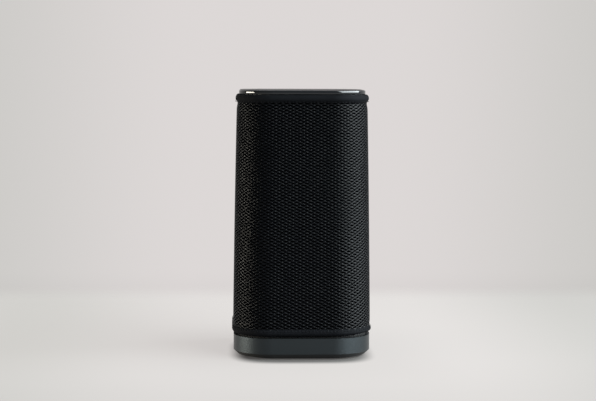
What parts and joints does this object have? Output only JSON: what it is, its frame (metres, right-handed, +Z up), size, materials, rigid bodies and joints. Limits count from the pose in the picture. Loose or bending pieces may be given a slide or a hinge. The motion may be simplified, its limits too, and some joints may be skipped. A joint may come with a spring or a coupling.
{
  "type": "smart speaker",
  "caption": "Portable smart speaker: a tall rounded-square column in a spacer-mesh sleeve with bound edges, on a low metal base, under a thin glossy touch plate.",
  "frame": {"origin": "middle of the footprint, on the surface that the speaker stands on", "axes": "+Z up along the column, -Y the front, +Y the back with the charge inlet, +X to the right seen from the front"},
  "size_m": [0.1018, 0.1018, 0.1936],
  "materials": {
    "foot_rubber": "matte",
    "base_paint": "satin",
    "screw_steel": "satin",
    "circuit_board": "satin",
    "inlet_metal": "polished",
    "port_plastic": "fine texture",
    "button_plastic": "fine texture",
    "switch_metal": "satin",
    "gasket_rubber": "matte",
    "chassis_plastic": "moulded",
    "cell_wrap": "gloss",
    "strap_webbing": "woven",
    "enclosure_plastic": "moulded",
    "basket_paint": "satin",
    "motor_steel": "zinc plated",
    "ferrite": "matte",
    "coil_copper": "lacquered",
    "spider_cloth": "woven",
    "cone_paper": "pulp",
    "surround_rubber": "satin",
    "dome_silk": "coated",
    "wadding": "fibrous",
    "can_tin": "tinned",
    "sink_aluminium": "extruded",
    "component_black": "moulded",
    "cage_plastic": "moulded",
    "sleeve_fabric": "spacer mesh",
    "binding_fabric": "woven",
    "led_epoxy": "gloss",
    "mic_rubber": "matte",
    "ribbon_film": "satin",
    "harness_jacket": "satin",
    "plate_gloss": "gloss"
  },
  "bodies": {
    "speaker_body": {"foot_pad": "foot_rubber", "base_shell": "base_paint", "base_screws": "screw_steel", "io_board": "circuit_board", "charge_inlet": "inlet_metal", "charge_inlet_tongue": "port_plastic", "port_panel": "port_plastic", "power_switch": "component_black", "mute_switch": "switch_metal", "base_gasket": "gasket_rubber", "lower_chassis": "chassis_plastic", "chassis_screws": "screw_steel", "battery_cells": "cell_wrap", "battery_holder": "chassis_plastic", "battery_strap": "strap_webbing", "enclosure_front": "enclosure_plastic", "enclosure_rear": "enclosure_plastic", "enclosure_seal": "gasket_rubber", "enclosure_screws": "screw_steel", "woofer_basket": "basket_paint", "woofer_front_plate": "motor_steel", "woofer_magnet": "ferrite", "woofer_yoke": "motor_steel", "woofer_spider": "spider_cloth", "woofer_surround": "surround_rubber", "woofer_gasket": "gasket_rubber", "driver_screws": "screw_steel", "tweeter_faceplate": "basket_paint", "tweeter_motor": "motor_steel", "tweeter_surround": "surround_rubber", "radiator_frame": "basket_paint", "radiator_surround": "surround_rubber", "damping_wadding": "wadding", "main_board": "circuit_board", "main_board_screws": "screw_steel", "shield_can": "can_tin", "heat_sink": "sink_aluminium", "board_components": "component_black", "wifi_antennas": "circuit_board", "grille_frame": "cage_plastic", "sleeve_mesh": "sleeve_fabric", "sleeve_top_binding": "binding_fabric", "sleeve_bottom_binding": "binding_fabric", "top_frame": "chassis_plastic", "top_frame_screws": "screw_steel", "touch_board": "circuit_board", "status_leds": "led_epoxy", "microphones": "mic_rubber", "touch_ribbon": "ribbon_film", "wiring_harness": "harness_jacket", "top_plate": "plate_gloss"},
    "power_button": {"power_button": "button_plastic"},
    "mute_slider": {"mute_slider": "button_plastic"},
    "woofer_moving": {"woofer_cone": "cone_paper", "woofer_dust_cap": "cone_paper", "woofer_voice_coil": "coil_copper"},
    "tweeter_moving": {"tweeter_dome": "dome_silk"},
    "radiator_moving": {"radiator_plate": "cone_paper", "radiator_weight": "motor_steel"}
  },
  "joints": [
    {"name": "power_button_press", "type": "slide", "parent": "speaker_body", "child": "power_button", "axis": [0, -1, 0], "range_m": [0, 0.0008], "stiffness_N_per_m": 2000},
    {"name": "mute_slider_slide", "type": "slide", "parent": "speaker_body", "child": "mute_slider", "axis": [1, 0, 0], "range_m": [0, 0.0028]},
    {"name": "woofer_stroke", "type": "slide", "parent": "speaker_body", "child": "woofer_moving", "axis": [0, -1, 0], "range_m": [-0.003, 0.003], "stiffness_N_per_m": 900, "deforming": ["woofer_surround", "woofer_spider"]},
    {"name": "tweeter_stroke", "type": "slide", "parent": "speaker_body", "child": "tweeter_moving", "axis": [0, -1, 0], "range_m": [-0.0003, 0.0003], "stiffness_N_per_m": 3000, "deforming": ["tweeter_surround"]},
    {"name": "radiator_stroke", "type": "slide", "parent": "speaker_body", "child": "radiator_moving", "axis": [0, 1, 0], "range_m": [-0.004, 0.004], "stiffness_N_per_m": 400, "deforming": ["radiator_surround"]}
  ]
}
